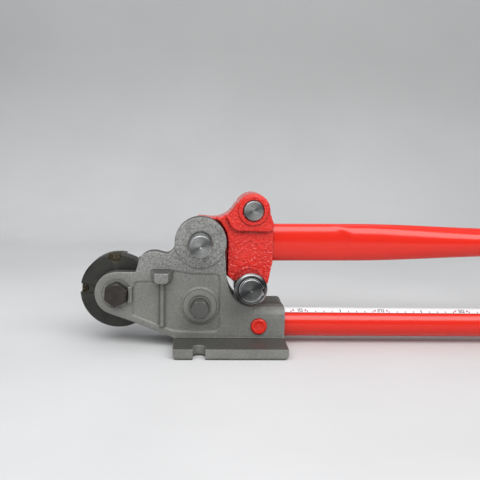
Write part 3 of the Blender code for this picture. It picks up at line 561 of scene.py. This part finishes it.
MATERIALS = {
    "cast_head": cast_iron(),
    "blade_steel": blade_steel(),
    "fastener_steel": fastener_steel(),
    "bright_steel": turned_steel("bright_steel", (0.13, 0.132, 0.13), (0.42, 0.422, 0.415), 0.28),
    "black_oxide": turned_steel("black_oxide", (0.045, 0.046, 0.047), (0.160, 0.162, 0.162), 0.16),
    "red_paint": enamel(),
    "tape_white": strip_white(),
    "grip_rubber": grip_rubber(),
}
RED_CASTING = enamel_on_casting()
NOTCH_RUST = notch_rust()
INK_BLACK = ink("ink_black", (0.03, 0.03, 0.035))
INK_RED = ink("ink_red", (0.40, 0.03, 0.05))

# CAD nodes that look unlike the rest of their slot
OWN_LOOKS = {
    "idler_bolt": cast_iron("grey_fastener", 0.44, 0.0),
    "roller_circlip": turned_steel("ring_steel", (0.11, 0.112, 0.112), (0.40, 0.402, 0.40), 0.24),
}


def dressed(obj, node, material=None, stands_in=True):
    """Gives a new piece the material of its slot and its body, and lets it stand for the CAD node."""
    obj.data.materials.clear()
    obj.data.materials.append(material or MATERIALS[SLOTS[node]])
    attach(obj, BODY_OF[node])
    if stands_in:
        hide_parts(node)
    return obj


# The head


# The plugs in the bores, the spot face round the blade bolt, and the small block that locks the bolt
PLUG_INNER_Y = 0.0125
PLUG_SINK = 0.0002
EAR_BOSS_RISE = 0.0012
SPOT_FACE_RADIUS, SPOT_FACE_SINK = 0.0172, 0.0003
LUG_X, LUG_Z = (-0.0821, -0.0775), (0.0536, 0.0726)
LUG_RISE, LUG_ROOT, LUG_EDGE = 0.0038, 0.004, 0.0007


def plugs():
    """Short cylinders that close the bores, so that softening leaves their rims to be cut sharp."""
    outer = CHEEK_Y - PLUG_SINK
    closed = []
    for centre, radius in ((BLADE_BOLT, 0.010), (CENTRE_PIN, 0.0145), (IDLER_BOLT, 0.0215)):
        front = CHEEK_Y + EAR_BOSS_RISE if centre is CENTRE_PIN else outer
        closed.append(cylinder(centre, radius, -front, -PLUG_INNER_Y))
        closed.append(cylinder(centre, radius, PLUG_INNER_Y, outer))
    return closed


def bolt_lock_lug():
    """The small block that stops the blade bolt from turning."""
    low = (LUG_X[0], -CHEEK_Y - LUG_RISE, LUG_Z[0])
    high = (LUG_X[1], -CHEEK_Y + LUG_ROOT, LUG_Z[1])
    lug = new_object("lug", box_mesh(low, high))
    bevel = lug.modifiers.new("edge_round", "BEVEL")
    bevel.width = LUG_EDGE
    bevel.segments = 3
    applied(lug)
    mesh = lug.data
    bpy.data.objects.remove(lug)
    return mesh


def make_head():
    """The casting, softened and sand-rough, then bored and spot-faced round the blade bolt."""
    head = cad_copy("body_casting")
    combined(head, plugs(), "UNION")
    softened(head, CASTING_VOXEL, 2)
    roughened(head, "sand", 0.0030, 0.00035)
    cuts = [
        cylinder(BLADE_BOLT, BLADE_BOLT_BORE),
        cylinder(BLADE_BOLT, SPOT_FACE_RADIUS, -CHEEK_Y - 0.01, -CHEEK_Y + SPOT_FACE_SINK),
        cylinder(CENTRE_PIN, radius_of("centre_pin") + GAP),
        cylinder(IDLER_BOLT, radius_of("idler_journal") + GAP),
    ]
    combined(head, cuts, "DIFFERENCE")
    combined(head, [bolt_lock_lug()], "UNION")
    dressed(shade(head), "body_casting")


# Blades


def small_edges(obj, width, segments, angle):
    """Rounds the corners sharper than the angle."""
    bevel = obj.modifiers.new("edge_round", "BEVEL")
    bevel.width = width
    bevel.segments = segments
    bevel.limit_method = "ANGLE"
    bevel.angle_limit = radians(angle)


def make_blade(node):
    """A disc with rounded edges and rust in its bar notches and on the moving blade's sliding face."""
    blade = cad_copy(node)
    small_edges(blade, 0.0004, 2, 30)
    applied(blade)
    dressed(shade(blade, 30), node)
    blade.data.materials.append(NOTCH_RUST)
    rim = radius_of("fixed_blade")
    gear_side = BLADE_BOLT.x + 0.012
    for face in blade.data.polygons:
        away = hypot(face.center.x - BLADE_BOLT.x, face.center.z - BLADE_BOLT.z)
        in_notch = 0.6 * rim < away < rim - 0.0004 and abs(face.normal.y) < 0.5
        sliding = node == "moving_blade" and face.normal.y < -0.9
        if sliding or in_notch and face.center.x < gear_side:
            face.material_index = 1


# Turned pieces


def turned_piece(node, profile, centre, soft, material=None):
    """A finished piece turned about Y, with its corners rounded by soft."""
    obj = new_object(f"{node}_finished", lathe(rounded(profile, soft), along_y(centre)))
    return dressed(shade(obj, 50), node, material)


def ring_profile(bore, radius, front, back):
    return [(bore, front), (radius, front), (radius, back), (bore, back)]


def make_journal():
    profile = ring_profile(IDLER_BOLT_BORE, radius_of("idler_journal"), -CHEEK_Y + 0.0001, CHEEK_Y)
    turned_piece("idler_journal", profile, IDLER_BOLT, 0.0005)


def pin_profile(node, clips=()):
    """A pin with chamfered ends, a centre mark on its front face and a groove for each retaining ring."""
    low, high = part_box(node)
    radius = radius_of(node)
    chamfer, mark_depth, mark_radius = 0.0009, 0.0009, 0.0013
    groove_depth, groove_play = 0.0012, 0.0002
    profile = [(0, low.y + mark_depth), (0.0004, low.y + 0.0007), (mark_radius, low.y)]
    profile += [(radius - chamfer, low.y), (radius, low.y + chamfer)]
    for clip in clips:
        clip_low, clip_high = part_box(clip)
        front, back = clip_low.y - groove_play, clip_high.y + groove_play
        floor = radius - groove_depth
        profile += [(radius, front), (floor, front), (floor, back), (radius, back)]
    return profile + [(radius, high.y - chamfer), (radius - chamfer, high.y), (0, high.y)]


def make_pins():
    clips = {
        "centre_pin": ["centre_pin_circlip"],
        "upper_pin": [],
        "roller_pin": ["roller_circlip", "roller_pin_rear_circlip"],
    }
    for node, centre in (("centre_pin", CENTRE_PIN), ("upper_pin", UPPER_PIN), ("roller_pin", ROLLER_PIN)):
        turned_piece(node, pin_profile(node, clips[node]), centre, 0.0003)


def make_roller():
    """A sleeve with a wide chamfer in front and small ones behind and in its bore."""
    low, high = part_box("bending_roller")
    radius = radius_of("bending_roller")
    bore = radius_of("roller_pin") + GAP
    chamfer, rear_chamfer, bore_chamfer = 0.0019, 0.001, 0.0006
    profile = [
        (bore + bore_chamfer, low.y),
        (radius - chamfer, low.y),
        (radius, low.y + chamfer),
        (radius, high.y - rear_chamfer),
        (radius - rear_chamfer, high.y),
        (bore + bore_chamfer, high.y),
        (bore, high.y - bore_chamfer),
        (bore, low.y + bore_chamfer),
    ]
    turned_piece("bending_roller", profile, ROLLER_PIN, 0.0005)


def make_washers():
    washers = (
        ("blade_bolt_washer", BLADE_BOLT, BLADE_BOLT_BORE),
        ("idler_bolt_washer", IDLER_BOLT, IDLER_BOLT_BORE),
        ("idler_rear_washer", IDLER_BOLT, IDLER_BOLT_BORE),
        ("centre_pin_washer", CENTRE_PIN, PIN_WASHER_BORE),
        ("roller_pin_washer", ROLLER_PIN, PIN_WASHER_BORE),
        ("roller_thrust_washer", ROLLER_PIN, PIN_WASHER_BORE),
    )
    for node, centre, bore in washers:
        low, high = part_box(node)
        material = MATERIALS["cast_head"] if node == "idler_bolt_washer" else None
        turned_piece(node, ring_profile(bore, radius_of(node), low.y, high.y), centre, 0.0005, material)


def make_rivet():
    """A rivet with a low hammered head on each side of the socket, highest in a ring round its middle."""
    face = CHEEK_Y + GAP
    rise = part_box("socket_rivet")[1].y - face
    head, shank = radius_of("socket_rivet"), 0.008
    dome = [(0.0, 0.6), (0.30, 0.62), (0.50, 0.68), (0.66, 0.92), (0.76, 1.0), (0.86, 0.90), (0.94, 0.62),
            (0.99, 0.25), (1.0, 0.0)]
    front = [(head * across, -face - rise * up) for across, up in dome]
    back = [(across, -along) for across, along in reversed(front)]
    profile = front + [(shank, -face), (shank, face)] + back
    rivet = new_object("socket_rivet_finished", lathe(profile, along_y(RIVET)))
    roughened(rivet, "rivet_hammer", 0.006, 0.0007)
    dressed(shade(rivet, 60), "socket_rivet")


# The lever


def web_share(point):
    """One on the lever's flat web, where the sand shows most, and little on the raised bosses."""
    off = abs(abs(point.y) - LEVER_WEB_Y)
    return 1.0 - 0.8 * eased(off, 0.0006, 0.0020)


def make_lever():
    """The lever casting, softened and sand-rough, then bored for its three pins."""
    lever = cad_copy("lever_casting")
    softened(lever, LEVER_VOXEL, 3)
    roughened(lever, "lever_sand", 0.0026, 0.0015, web_share)
    cuts = [
        cylinder(CENTRE_PIN, radius_of("centre_pin") + GAP),
        cylinder(UPPER_PIN, radius_of("upper_pin") + UPPER_PIN_GAP),
        cylinder(ROLLER_PIN, radius_of("roller_pin") + GAP),
    ]
    combined(lever, cuts, "DIFFERENCE")
    dressed(shade(lever, 60), "lever_casting", RED_CASTING)


# The handles


def tube_mesh(sections):
    """A tube with a wall, from (outer loop, inner loop) sections, closed at both ends by the wall."""
    shape = bmesh.new()
    rings = [[[shape.verts.new(point) for point in loop] for loop in pair] for pair in sections]
    count = len(rings[0][0])
    for i in range(count):
        j = (i + 1) % count
        for here, there in zip(rings, rings[1:]):
            for side in (0, 1):
                shape.faces.new((here[side][i], here[side][j], there[side][j], there[side][i]))
        for end in (rings[0], rings[-1]):
            shape.faces.new((end[0][i], end[0][j], end[1][j], end[1][i]))
    bmesh.ops.recalc_face_normals(shape, faces=shape.faces)
    mesh = bpy.data.meshes.new("tube")
    shape.to_mesh(mesh)
    shape.free()
    return mesh


def upper_axis():
    """(z at the lever, rise per metre) of the upper tube, from its CAD box."""
    low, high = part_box("upper_handle_tube")
    start = low.z + FLAT_HALF_HEIGHT
    end = high.z - TUBE_RADIUS
    return start, (end - start) / (high.x - low.x)


def upper_section(x, inset):
    """The tube's loop at x: an upright oval, pressed flat on both sides as far as the press reached."""
    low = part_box("upper_handle_tube")[0]
    start, rise = upper_axis()
    middle_z = start + rise * (x - low.x)
    height = FLAT_HALF_HEIGHT + (TUBE_RADIUS - FLAT_HALF_HEIGHT) * eased(x, TAPER_START, UPPER_ROUND_START)
    points = []
    for i in range(TUBE_SIDES):
        angle = 2 * pi * (i + 0.5) / TUBE_SIDES
        z = height * sin(angle)
        beyond = hypot(max(x - PRESS_END, 0.0), z) - PRESS_ROUND if x > PRESS_END else 0.0
        spread = 0.35 * eased(beyond, 0.0, 0.006) + 0.65 * eased(beyond, 0.004, 0.170)
        width = FLAT_HALF_WIDTH + (TUBE_RADIUS - FLAT_HALF_WIDTH) * min(spread, 1.0)
        y = width * cos(angle)
        length = hypot(y, z)
        scale = (length - inset) / length
        points.append((x, y * scale, middle_z + z * scale))
    return points


def make_upper_tube():
    low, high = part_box("upper_handle_tube")
    shaped = UPPER_ROUND_START - low.x
    stops = [low.x + shaped * i / 64 for i in range(65)] + [0.6, high.x]
    sections = [(upper_section(x, 0.0), upper_section(x, TUBE_WALL)) for x in stops]
    tube = new_object("upper_handle_tube_finished", tube_mesh(sections))
    dressed(shade(tube, 50), "upper_handle_tube")


def round_section(x, radius):
    angles = [2 * pi * i / TUBE_SIDES for i in range(TUBE_SIDES)]
    return [(x, radius * cos(a), TUBE_Z + radius * sin(a)) for a in angles]


def make_lower_tube():
    stops = [TUBE_LOW.x, 0.3, 0.6, TUBE_HIGH.x]
    sections = [(round_section(x, TUBE_RADIUS), round_section(x, TUBE_RADIUS - TUBE_WALL)) for x in stops]
    tube = new_object("lower_handle_tube_finished", tube_mesh(sections))
    combined(tube, [cylinder(RIVET, RIVET_BORE)], "DIFFERENCE")
    dressed(shade(tube, 50), "lower_handle_tube")


def grip_profile(length):
    """A collar, a row of finger rings and a domed end, with a blind bore for the tube."""
    outer, bore, cap = 0.0215, TUBE_RADIUS + GAP, 0.005
    collar, valley, crest = outer + 0.0010, outer - 0.0006, outer + 0.0002
    first_ring, ring_pitch, ring_count = 0.011, 0.0055, 18
    profile = [(bore, 0), (outer - 0.0005, 0), (collar, 0.0015), (collar, 0.0045), (valley, 0.0065)]
    for i in range(ring_count):
        start = first_ring + ring_pitch * i
        profile += [(valley, start), (crest, start + 0.0012)]
        profile += [(crest, start + 0.0028), (valley, start + 0.0040)]
    profile += [(outer - 0.0004, length - 0.006), (outer - 0.0012, length - 0.0025)]
    profile += [(outer - 0.0040, length - 0.0006), (0.010, length), (0, length)]
    return profile + [(0, length - cap), (bore, length - cap)]


def make_grip(node, z_start, tilt):
    """A moulded rubber sleeve on a handle that rises by tilt."""
    low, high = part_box(node)
    profile = rounded(grip_profile((high.x - low.x) / cos(tilt)), 0.0008, 3)
    place = Matrix.Translation((low.x, 0, z_start)) @ Matrix.Rotation(pi / 2 - tilt, 4, "Y")
    grip = new_object(f"{node}_finished", lathe(profile, place, TUBE_SIDES))
    dressed(shade(grip, 50), node)


def make_grips():
    start, rise = upper_axis()
    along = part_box("upper_grip")[0].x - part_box("upper_handle_tube")[0].x
    make_grip("upper_grip", start + rise * along, atan2(rise, 1))
    make_grip("lower_grip", TUBE_Z, 0.0)


# The measuring strip


# Which of the seven strokes, a to g, each numeral has
SEGMENTS = {"0": "abcdef", "1": "bc", "2": "abged", "3": "abgcd", "4": "fgbc", "5": "afgcd", "6": "afgedc",
            "7": "abc", "8": "abcdefg", "9": "abcdfg"}

# The strip's underside and face, its edges as angles back from the tube's top, and where its scale starts
STRIP_BASE = TUBE_RADIUS + GAP
STRIP_RADIUS = STRIP_BASE + 0.0005
STRIP_FRONT, STRIP_BACK, STRIP_STEPS = radians(-34), radians(22), 24
STRIP_ZERO = 0.0193
MARK_RISE = 0.00006


def on_strip(x, reach, angle):
    """A place at this distance from the lower tube's axis, angle back from its top."""
    return x, reach * sin(angle), TUBE_Z + reach * cos(angle)


def strip_patch(shape, x_low, x_high, angle_low, angle_high):
    """A thin raised mark that follows the strip's round."""
    steps = 3
    rise = MARK_RISE
    corners = [(x, STRIP_RADIUS + side) for side in (-rise, rise) for x in (x_low, x_high)]
    rows = []
    for k in range(steps + 1):
        angle = angle_low + (angle_high - angle_low) * k / steps
        rows.append([shape.verts.new(on_strip(x, reach, angle)) for x, reach in corners])
    for a, b in zip(rows, rows[1:]):
        for i, j in ((0, 1), (1, 3), (3, 2), (2, 0)):
            shape.faces.new((a[i], a[j], b[j], b[i]))
    shape.faces.new((rows[0][0], rows[0][1], rows[0][3], rows[0][2]))
    shape.faces.new((rows[-1][2], rows[-1][3], rows[-1][1], rows[-1][0]))


def digit(shape, character, x, angle):
    """A plain numeral of straight strokes that don't quite touch, read from the front of the tool."""
    wide, tall, half, clear = 0.0027, 0.0050, 0.00045, 0.00003
    levels = {"a": tall, "g": tall / 2, "d": 0}
    sides = {"f": (0, True), "e": (0, False), "b": (wide, True), "c": (wide, False)}
    for name in SEGMENTS[character]:
        if name in levels:
            x_low, x_high = half + clear, wide - half - clear
            up_low, up_high = levels[name] - half, levels[name] + half
        else:
            side, upper = sides[name]
            x_low, x_high = side - half, side + half
            up_low, up_high = (tall / 2 + clear, tall + half) if upper else (-half, tall / 2 - clear)
        angles = (angle + up_low / STRIP_RADIUS, angle + up_high / STRIP_RADIUS)
        strip_patch(shape, x + x_low, x + x_high, *angles)


def make_strip_sheet():
    """The white sheet: a thin curved band from end to end."""
    low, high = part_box("measuring_tape")
    angles = [STRIP_FRONT + (STRIP_BACK - STRIP_FRONT) * i / STRIP_STEPS for i in range(STRIP_STEPS + 1)]
    shape = bmesh.new()
    loops = []
    for x in (low.x, high.x):
        outer = [shape.verts.new(on_strip(x, STRIP_RADIUS, a)) for a in angles]
        inner = [shape.verts.new(on_strip(x, STRIP_BASE, a)) for a in reversed(angles)]
        loops.append(outer + inner)
    count = len(loops[0])
    for i in range(count):
        j = (i + 1) % count
        shape.faces.new((loops[0][i], loops[0][j], loops[1][j], loops[1][i]))
    for i in range(STRIP_STEPS):
        for loop in loops:
            shape.faces.new((loop[i], loop[i + 1], loop[count - 2 - i], loop[count - 1 - i]))
    bmesh.ops.recalc_face_normals(shape, faces=shape.faces)
    mesh = bpy.data.meshes.new("strip")
    shape.to_mesh(mesh)
    shape.free()
    dressed(shade(new_object("measuring_strip", mesh), 40), "measuring_tape")


def make_strip_marks():
    """A tick every centimetre, longer at five, and a number between two red blocks every ten."""
    first, last = 9, 81
    half_tick, block = 0.0006, 0.0018
    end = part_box("measuring_tape")[1].x - 0.002
    black, red = bmesh.new(), bmesh.new()
    for centimetre in range(first, last + 1):
        x = STRIP_ZERO + 0.01 * centimetre
        if x > end:
            break
        if centimetre % 10 == 0:
            for i, character in enumerate(str(centimetre)):
                digit(black, character, x - 0.0038 + 0.0046 * i, radians(-30))
            for shift in (-0.0080, 0.0068):
                strip_patch(red, x + shift, x + shift + block, radians(-28), radians(-18))
        elif centimetre % 5 == 0:
            strip_patch(black, x - half_tick, x + half_tick, radians(-33), radians(-17))
        else:
            strip_patch(red, x - half_tick, x + half_tick, radians(-33), radians(-25))
    pieces = (("strip_marks_black", black, INK_BLACK), ("strip_marks_red", red, INK_RED))
    for name, marks, material in pieces:
        bmesh.ops.recalc_face_normals(marks, faces=marks.faces)
        mesh = bpy.data.meshes.new(name)
        marks.to_mesh(mesh)
        marks.free()
        dressed(new_object(name, mesh), "measuring_tape", material, stands_in=False)


# CAD nodes that keep their shape


def finish_cad_nodes():
    """A crisp small edge round and the right material on every CAD node that stays."""
    for node, obj in NODES.items():
        if obj.hide_render:
            continue
        obj.data.materials.clear()
        obj.data.materials.append(OWN_LOOKS.get(node, MATERIALS[SLOTS[node]]))
        weld = obj.modifiers.new("weld", "WELD")
        weld.merge_threshold = WELD_DISTANCE
        small_edges(obj, 0.0004, 3, 34)


# Studio


def make_stage():
    """A pale seamless sheet that sweeps up behind the tool."""
    near, far, radius, top, half_width = -2.2, 0.75, 0.45, 3.0, 4.0
    sweep = [radians(6 * i) for i in range(1, 16)]
    points = [(near, 0.0), (far, 0.0)]
    points += [(far + radius * sin(a), radius * (1 - cos(a))) for a in sweep]
    points += [(far + radius, top)]
    mesh = bpy.data.meshes.new("sheet")
    vertices = [(side * half_width, y, z) for y, z in points for side in (-1, 1)]
    faces = [(2 * i, 2 * i + 1, 2 * i + 3, 2 * i + 2) for i in range(len(points) - 1)]
    mesh.from_pydata(vertices, [], faces)
    sheet = new_object("studio_sheet", mesh)
    mesh.shade_smooth()
    paper = Finish("pale_paper", 0.85, 0.0, Specular_IOR_Level=0.2)
    cloud = paper.ramp(paper.noise(3.0, 4), 0.3, 0.7)
    colour = paper.blend(cloud, (0.55, 0.55, 0.55), (0.61, 0.61, 0.61))
    place = paper.coords
    # Painted shade: the sheet darkens with height and towards +X.
    height = paper.ramp(paper.part(place, "Z"), 0.02, 0.55, 0.0, 0.55)
    colour = paper.blend(height, colour, (0.33, 0.33, 0.33))
    aside = paper.ramp(paper.part(place, "X"), -0.1, 1.0, 0.0, 0.35)
    paper.put("Base Color", paper.blend(aside, colour, (0.40, 0.40, 0.40)))
    paper.put("Normal", paper.bump(paper.noise(9, 3), 0.02, 0.12))
    paper.clear_from_behind()
    mesh.materials.append(paper.material)


def area_light(name, place, target, size, power):
    light = bpy.data.lights.new(name, "AREA")
    light.shape = "RECTANGLE"
    light.size, light.size_y = size
    light.energy = power
    obj = bpy.data.objects.new(name, light)
    bpy.context.scene.collection.objects.link(obj)
    obj.location = place
    obj.rotation_euler = (Vector(target) - Vector(place)).to_track_quat("-Z", "Y").to_euler()


def make_lights():
    area_light("key", (0.35, -1.13, 1.36), (0.25, 0, 0.06), (3.4, 1.04), 45)
    area_light("top", (-0.1, 0.25, 1.9), (0.05, 0, 0.0), (2.0, 0.9), 6)
    world = bpy.data.worlds.new("studio")
    world.use_nodes = True
    tree = world.node_tree
    background = tree.nodes["Background"]
    direction = tree.nodes.new("ShaderNodeTexCoord").outputs["Generated"]
    height = tree.nodes.new("ShaderNodeSeparateXYZ")
    tree.links.new(direction, height.inputs[0])
    rise = tree.nodes.new("ShaderNodeMapRange")
    tree.links.new(height.outputs["Z"], rise.inputs["Value"])
    for label, number in (("From Min", 0.1), ("From Max", 0.9), ("To Min", 0.30), ("To Max", 0.62)):
        rise.inputs[label].default_value = number
    tree.links.new(rise.outputs["Result"], background.inputs["Strength"])
    background.inputs["Color"].default_value = (0.93, 0.96, 1.0, 1.0)
    bpy.context.scene.world = world
    bpy.context.scene.view_settings.view_transform = "Standard"


def make_camera():
    """A camera a little above the tool, in front of the centre pin, turned slightly to the handles."""
    yaw, pitch, roll = radians(3.8), radians(8.0), radians(1.4)
    forward = Vector((sin(yaw) * cos(pitch), cos(yaw) * cos(pitch), -sin(pitch)))
    level = Vector((cos(yaw), -sin(yaw), 0))
    upright = level.cross(forward)
    across = cos(roll) * level + sin(roll) * upright
    up = cos(roll) * upright - sin(roll) * level
    data = bpy.data.cameras.new("camera")
    data.sensor_width = 36
    data.lens = 44.76
    camera = bpy.data.objects.new("camera", data)
    bpy.context.scene.collection.objects.link(camera)
    place = Matrix((across, up, -forward)).transposed().to_4x4()
    place.translation = Vector((0, -0.7, 0.2227))
    camera.matrix_world = place
    bpy.context.scene.camera = camera


make_head()
make_blade("fixed_blade")
make_blade("moving_blade")
make_journal()
make_pins()
make_roller()
make_washers()
make_rivet()
make_lever()
make_upper_tube()
make_lower_tube()
make_grips()
make_strip_sheet()
make_strip_marks()
finish_cad_nodes()
make_stage()
make_lights()
make_camera()
